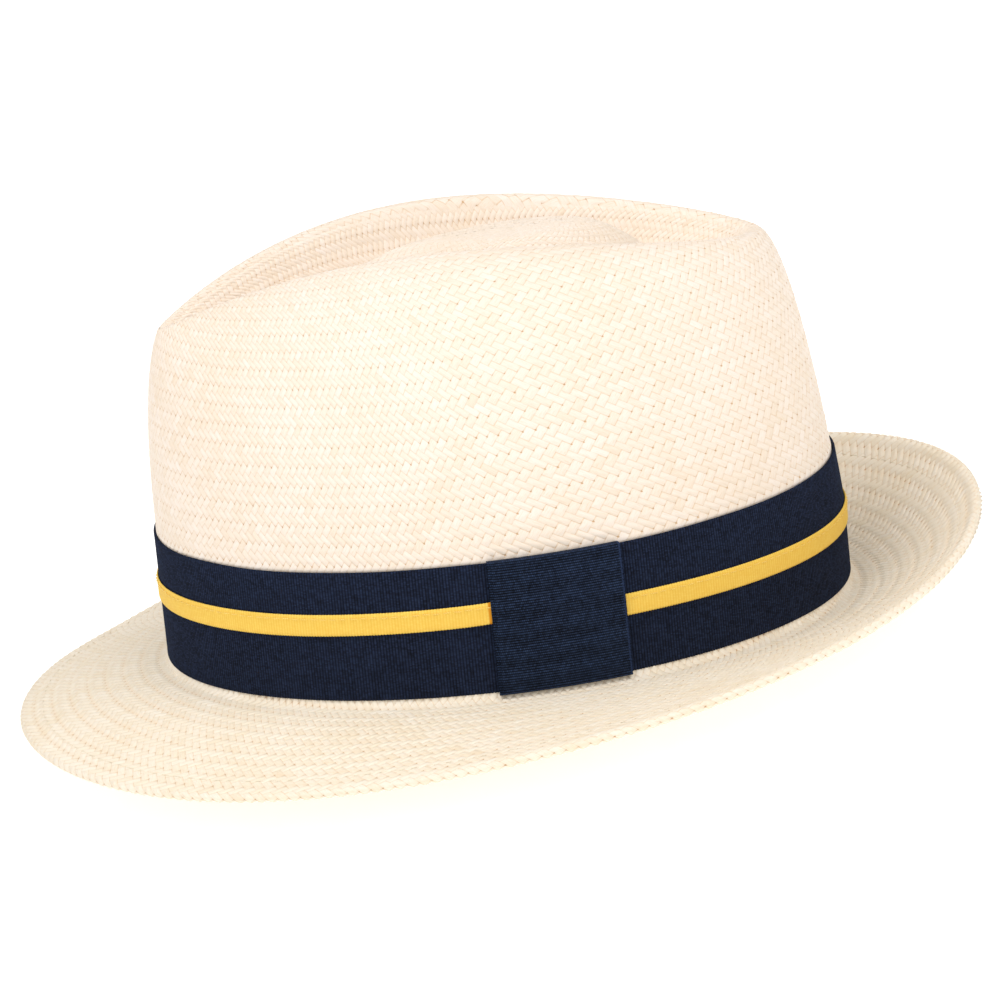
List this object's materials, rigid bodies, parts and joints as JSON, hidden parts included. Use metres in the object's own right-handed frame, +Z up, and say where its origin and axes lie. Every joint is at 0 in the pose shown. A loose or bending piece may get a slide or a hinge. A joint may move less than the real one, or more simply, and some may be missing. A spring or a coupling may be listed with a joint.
{
  "type": "fedora hat",
  "caption": "Woven straw fedora with a teardrop crown, snap brim with turned-under edge, wide ribbon band with a narrow stripe, flat bow and sewn-in sweatband.",
  "frame": {"origin": "on the table plane the brim rests on, under the middle of the hat's length and width", "axes": "+Z up, -Y towards the front of the hat, +X towards the wearer's left, where the bow is. The head opening's plane is pitched 7.6 degrees about X, back side down, because the hat lies on its snapped brim."},
  "size_m": [0.2726, 0.3016, 0.1416],
  "materials": {
    "straw": "woven palm straw, bleached",
    "wire": "clear monofilament",
    "straw_thread": "sewing thread",
    "navy_ribbon": "navy grosgrain",
    "yellow_ribbon": "golden yellow grosgrain",
    "yellow_thread": "sewing thread",
    "sweatband": "light tan leather",
    "reed": "translucent reed",
    "tape": "cotton tape"
  },
  "bodies": {
    "root": {"crown": "straw", "brim": "straw", "edge_wire": "wire", "hem_stitching": "straw_thread", "band_ribbon": "navy_ribbon", "stripe_ribbon": "yellow_ribbon", "stripe_stitching": "yellow_thread", "bow_wrap": "navy_ribbon", "sweatband": "sweatband", "sweatband_reed": "reed", "reed_tape": "tape", "sweatband_stitching": "straw_thread", "sweatband_bow": "navy_ribbon"}
  },
  "joints": []
}
